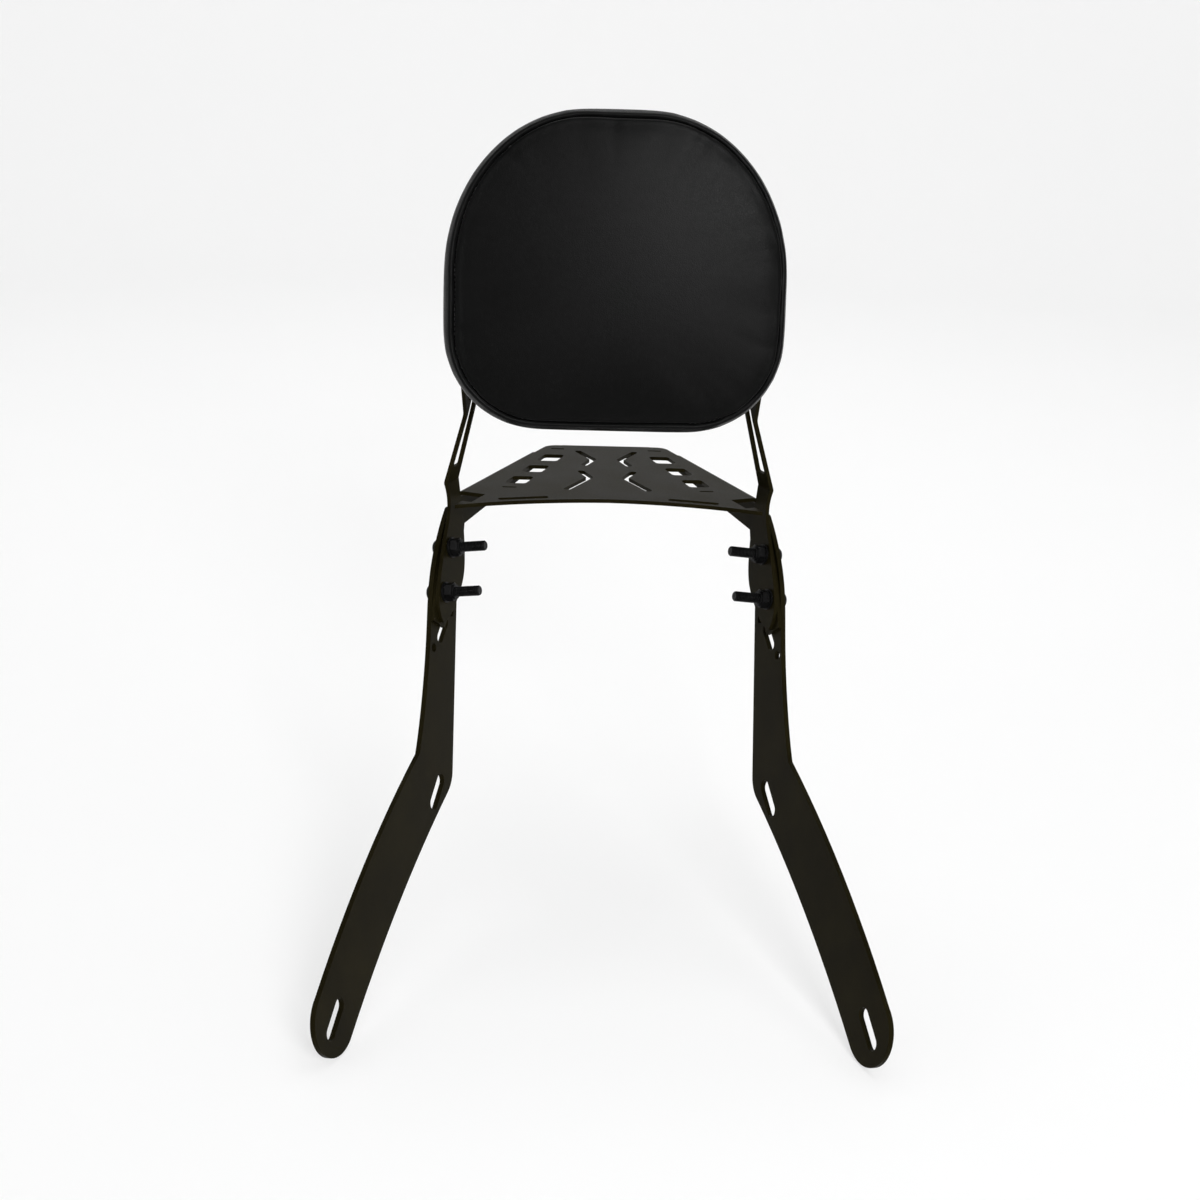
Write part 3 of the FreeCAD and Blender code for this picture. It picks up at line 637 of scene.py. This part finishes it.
def padRows(block):
    # rings of places on the cover, from the back's rim over band and seam to the middle of the front
    steps = padSize["steps"]
    tree = BVHTree.FromPolygons([vertex.co for vertex in block.data.vertices],
                                [polygon.vertices[:] for polygon in block.data.polygons])
    outline = padOutline(0, steps)
    ahead = np.roll(outline, -1, axis=0) - np.roll(outline, 1, axis=0)
    inward = np.stack((-ahead[:, 1], ahead[:, 0]), 1) / np.linalg.norm(ahead, axis=1)[:, None]
    turn = np.arange(steps) * 2 * math.pi / steps
    sway = sum(height * np.sin(waves * turn + phase) for height, waves, phase in seamSize["wobbles"])
    seamRow = len(padBack) + len(padBand)
    rows = []
    for inset, height in padBack:
        ring = outline + inward * inset / 1000
        rows.append(np.column_stack((ring, np.full(steps, height / 1000))))
    for row, (inset, height, slope) in enumerate(padBand + padSeam + padPanel, len(padBack)):
        near = max(0.0, 1 - abs(row - seamRow) / seamSize["rows"])
        ring = outline + inward * (inset / 1000 + near * sway)[:, None]
        ring[:, 0] += seamSize["shift"] * near
        aim = np.column_stack((ring, np.full(steps, height / 1000)))
        angle = math.radians(slope)
        way = np.column_stack((inward * math.cos(angle), np.full(steps, -math.sin(angle))))
        rows.append(castOn(tree, aim, way))
    edge = rows[-1]
    centre = np.array((0.0, padSize["bottom"] + padSize["panelMiddle"] * padSize["height"], 0.0))
    down = np.tile((0.0, 0.0, -1.0), (steps, 1))
    for k in range(1, padSize["panelRings"] + 1):
        share = 1 - k / (padSize["panelRings"] + padSize["panelGap"])
        aim = centre + (edge * (1, 1, 0) - centre) * share + (0, 0, padSize["panelLift"])
        rows.append(castOn(tree, aim, down))
    return np.array(rows), seamRow


def padMesh(points):
    # the rings' quads, turned to face outward
    rows, steps = points.shape[:2]
    faces = [(a, d, c, b) for a, b, c, d in ringFaces(rows, steps)]
    mesh = bpy.data.meshes.new("padCover")
    mesh.from_pydata(fromPadFrame(points.reshape(-1, 3)).tolist(), [], faces)
    return mesh


def closeEnds(mesh):
    # the grid is open at the middle of the front and behind the board
    shape = bmesh.new()
    shape.from_mesh(mesh)
    rims = [edge for edge in shape.edges if edge.is_boundary]
    caps = bmesh.ops.holes_fill(shape, edges=rims, sides=0)["faces"]
    bmesh.ops.poke(shape, faces=caps)
    bmesh.ops.recalc_face_normals(shape, faces=shape.faces)
    for face in shape.faces:
        face.smooth = True
    shape.to_mesh(mesh)
    shape.free()


def sewnRows(points, seamRow):
    # sinks the seam, lifts a small ridge beside it and adds the pull marks
    size = seamSize
    tangent = np.roll(points, -1, axis=1) - np.roll(points, 1, axis=1)
    slope = np.gradient(points, axis=0)
    normal = np.cross(tangent, slope)
    normal /= np.maximum(np.linalg.norm(normal, axis=2), 1e-12)[..., None]
    normal *= np.sign(normal[seamRow, :, 2].mean())
    panelPulls = seamPulls()
    bandPulls = pullSize["bandShare"] * np.roll(panelPulls, pullSize["bandStep"])
    ridgePlace, ridgeWidth = size["ridgePlace"] * size["width"], size["ridgeWidth"] * size["width"]
    sewn = points.copy()
    for row in range(seamRow - size["sewnBefore"], seamRow + size["sewnAfter"]):
        away = np.linalg.norm(points[row] - points[seamRow], axis=1)
        sink = size["depth"] * np.exp(-(away / size["width"]) ** 2)
        lift = size["ridge"] * np.exp(-((away - ridgePlace) / ridgeWidth) ** 2)
        pull = (panelPulls if row > seamRow else bandPulls) * np.exp(-away / pullSize["reach"])
        sewn[row] += normal[row] * (lift - sink - pull)[:, None]
    return sewn


def stuffPad():
    block = stuffedBlock()
    points, seamRow = padRows(block)
    bpy.data.objects.remove(block)
    points = sewnRows(points, seamRow)
    pad = newPiece("padCover", padMesh(points), padMaterial)
    line = fromPadFrame(points[seamRow])
    finer = pad.modifiers.new("finer", "SUBSURF")
    finer.levels = 1
    finer.render_levels = 1
    settled(pad)
    closeEnds(pad.data)
    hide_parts("pad_cushion")
    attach(pad, "root")
    return pad, line


padCover, seamLine = stuffPad()
print("pad stuffed,", len(padCover.data.polygons), "faces")


# seam stitches along the front panel

stitchSize = {"Spacing": 0.0036, "Length": 0.0025, "Thickness": 0.0008}
stitchBead = {"Segments": 8, "Rings": 5, "Radius": 0.5}
stitchLift = 0.0005


def stitchTree():
    tree = bpy.data.node_groups.new("seamStitches", "GeometryNodeTree")
    tree.interface.new_socket("Geometry", in_out="INPUT", socket_type="NodeSocketGeometry")
    for label in stitchSize:
        tree.interface.new_socket(label, in_out="INPUT", socket_type="NodeSocketFloat")
    tree.interface.new_socket("Thread", in_out="INPUT", socket_type="NodeSocketMaterial")
    tree.interface.new_socket("Geometry", in_out="OUTPUT", socket_type="NodeSocketGeometry")
    add, link = tree.nodes.new, tree.links.new
    given, result = add("NodeGroupInput"), add("NodeGroupOutput")
    path = add("GeometryNodeMeshToCurve")
    link(given.outputs["Geometry"], path.inputs["Mesh"])
    spaced = add("GeometryNodeResampleCurve")
    spaced.mode = "LENGTH"
    link(path.outputs["Curve"], spaced.inputs["Curve"])
    link(given.outputs["Spacing"], spaced.inputs["Length"])
    tangent = add("GeometryNodeInputTangent")
    align = add("FunctionNodeAlignRotationToVector")
    align.axis = "Z"
    link(tangent.outputs["Tangent"], align.inputs["Vector"])
    bead = add("GeometryNodeMeshUVSphere")
    for label, value in stitchBead.items():
        bead.inputs[label].default_value = value
    extent = add("ShaderNodeCombineXYZ")
    for axis in ("X", "Y"):
        link(given.outputs["Thickness"], extent.inputs[axis])
    link(given.outputs["Length"], extent.inputs["Z"])
    laid = add("GeometryNodeInstanceOnPoints")
    link(spaced.outputs["Curve"], laid.inputs["Points"])
    link(bead.outputs["Mesh"], laid.inputs["Instance"])
    link(align.outputs["Rotation"], laid.inputs["Rotation"])
    link(extent.outputs["Vector"], laid.inputs["Scale"])
    real = add("GeometryNodeRealizeInstances")
    link(laid.outputs["Instances"], real.inputs["Geometry"])
    smooth = add("GeometryNodeSetShadeSmooth")
    link(real.outputs["Geometry"], smooth.inputs["Geometry"])
    coloured = add("GeometryNodeSetMaterial")
    link(smooth.outputs["Geometry"], coloured.inputs["Geometry"])
    link(given.outputs["Thread"], coloured.inputs["Material"])
    link(coloured.outputs["Geometry"], result.inputs["Geometry"])
    return tree


def sewSeam(line):
    mesh = bpy.data.meshes.new("seamStitches")
    count = len(line)
    mesh.from_pydata(line.tolist(), [(k, (k + 1) % count) for k in range(count)], [])
    piece = newPiece("seamStitches", mesh, threadMaterial)
    sewing = piece.modifiers.new("sewing", "NODES")
    tree = stitchTree()
    sewing.node_group = tree
    names = {item.name: item.identifier for item in tree.interface.items_tree if item.in_out == "INPUT"}
    for label, value in stitchSize.items():
        sewing[names[label]] = value
    sewing[names["Thread"]] = threadMaterial
    settled(piece)
    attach(piece, "root")
    return piece


outward = np.array((0.0, -math.cos(padSize["lean"]), math.sin(padSize["lean"])))
stitches = sewSeam(seamLine + outward * stitchLift)
print("seam sewn,", len(stitches.data.polygons), "faces")


# stage, light and camera

stageSize = {
    "floorDrop": 0.001, "hubRadius": 0.3, "floorRadius": 3.2, "curve": 1.4, "wall": 2.4,
    "turnSteps": 72, "curveSteps": 14, "shade": (0.86, 0.86, 0.86), "pale": (0.89, 0.89, 0.89),
    "paperScale": 3.0, "roughness": 0.9, "specular": 0.1, "white": 0.6,
}


def stageMesh():
    # a round floor of paper that curves up into a wall on all sides
    size = stageSize
    floor = cadLow.z - size["floorDrop"]
    profile = [(size["hubRadius"], floor), (size["floorRadius"], floor)]
    for k in range(1, size["curveSteps"] + 1):
        turn = math.radians(90 * k / size["curveSteps"])
        out, rise = size["curve"] * math.sin(turn), size["curve"] * (1 - math.cos(turn))
        profile.append((size["floorRadius"] + out, floor + rise))
    profile.append((profile[-1][0], floor + size["curve"] + size["wall"]))
    steps = size["turnSteps"]
    points = [(0, 0, floor)]
    for radius, height in profile:
        for k in range(steps):
            turn = 2 * math.pi * k / steps
            points.append((radius * math.cos(turn), radius * math.sin(turn), height))
    faces = [(0, 1 + k, 1 + (k + 1) % steps) for k in range(steps)]
    faces += ringFaces(len(profile), steps, first=1)
    mesh = bpy.data.meshes.new("studioFloor")
    mesh.from_pydata(points, [], faces)
    smoothFaces(mesh)
    return mesh


def makePaper():
    # the paper looks nearly white to the camera and in mirrors, and still shows the shadow
    size = stageSize
    material, shader, place = newFinish("studioPaper", {
        "Roughness": size["roughness"], "Specular IOR Level": size["specular"]})
    feed(shader, {"Base Color": place.noise(size["paperScale"]).blendColours(size["shade"], size["pale"])})
    camera, glossy, through = (place.node("ShaderNodeLightPath", output=kind)
                               for kind in ("Is Camera Ray", "Is Glossy Ray", "Is Transmission Ray"))
    seen = place.calc("MINIMUM", camera + glossy + through, 1.0) * size["white"]
    glow = place.node("ShaderNodeEmission", None, {"Color": (1, 1, 1, 1), "Strength": 1.0})
    plain = Wire(material.node_tree, shader.outputs[0])
    mixed = place.node("ShaderNodeMixShader", None, {0: seen, 1: plain, 2: glow})
    feed(material.node_tree.nodes["Material Output"], {"Surface": mixed})
    return material


def makeStage():
    mesh = stageMesh()
    material = makePaper()
    newPiece("studioFloor", mesh, material)


lamps = (
    {"name": "softTop", "place": (0.5, -0.5, 2.4), "aim": (0.0, 0.0, 0.0), "size": 1.8, "power": 18.0},
    {"name": "softRight", "place": (0.68, -2.38, 1.12), "aim": (0.0, 0.0, 0.15), "size": 0.8, "power": 50.0},
    {"name": "softLeft", "place": (-2.2, -0.6, 1.2), "aim": (0.0, 0.0, 0.0), "size": 1.4, "power": 4.0},
    {"name": "paperLight", "place": (0.0, 1.3, 2.6), "aim": (0.0, 3.2, 0.0), "size": 2.4, "power": 60.0},
)
worldLight = {"Color": (1.0, 1.0, 1.0, 1.0), "Strength": 0.18}


def makeLight():
    for lamp in lamps:
        data = bpy.data.lights.new(lamp["name"], "AREA")
        data.energy = lamp["power"]
        data.size = lamp["size"]
        light = bpy.data.objects.new(lamp["name"], data)
        light.location = lamp["place"]
        aim = Vector(lamp["aim"]) - Vector(lamp["place"])
        light.rotation_euler = aim.to_track_quat("-Z", "Y").to_euler()
        scene.collection.objects.link(light)
    world = bpy.data.worlds.new("studio")
    world.use_nodes = True
    for socket, value in worldLight.items():
        world.node_tree.nodes["Background"].inputs[socket].default_value = value
    scene.world = world


cameraSize = {
    "pitch": -18.612, "yaw": -1.019, "roll": -1.6, "place": (-0.02897, -1.3811, 0.38072),
    "sensor": 36.0, "focal": 1819.5 / 1200,
}


def makeCamera():
    pitch, yaw, roll = (math.radians(cameraSize[key]) for key in ("pitch", "yaw", "roll"))
    nod = Matrix(((1, 0, 0), (0, math.cos(pitch), math.sin(pitch)), (0, -math.sin(pitch), math.cos(pitch))))
    swing = Matrix(((math.cos(yaw), math.sin(yaw), 0), (-math.sin(yaw), math.cos(yaw), 0), (0, 0, 1)))
    tip = Matrix(((math.cos(roll), 0, -math.sin(roll)), (0, 1, 0), (math.sin(roll), 0, math.cos(roll))))
    right, ahead, up = tip @ nod @ swing
    data = bpy.data.cameras.new("photoCamera")
    data.sensor_width = cameraSize["sensor"]
    data.lens = cameraSize["sensor"] * cameraSize["focal"]
    camera = bpy.data.objects.new("photoCamera", data)
    place = cameraSize["place"]
    rows = [[right[k], up[k], -ahead[k], place[k]] for k in range(3)]
    camera.matrix_world = Matrix(rows + [[0, 0, 0, 1]])
    scene.collection.objects.link(camera)
    scene.camera = camera


makeStage()
makeLight()
makeCamera()
print("stage set")
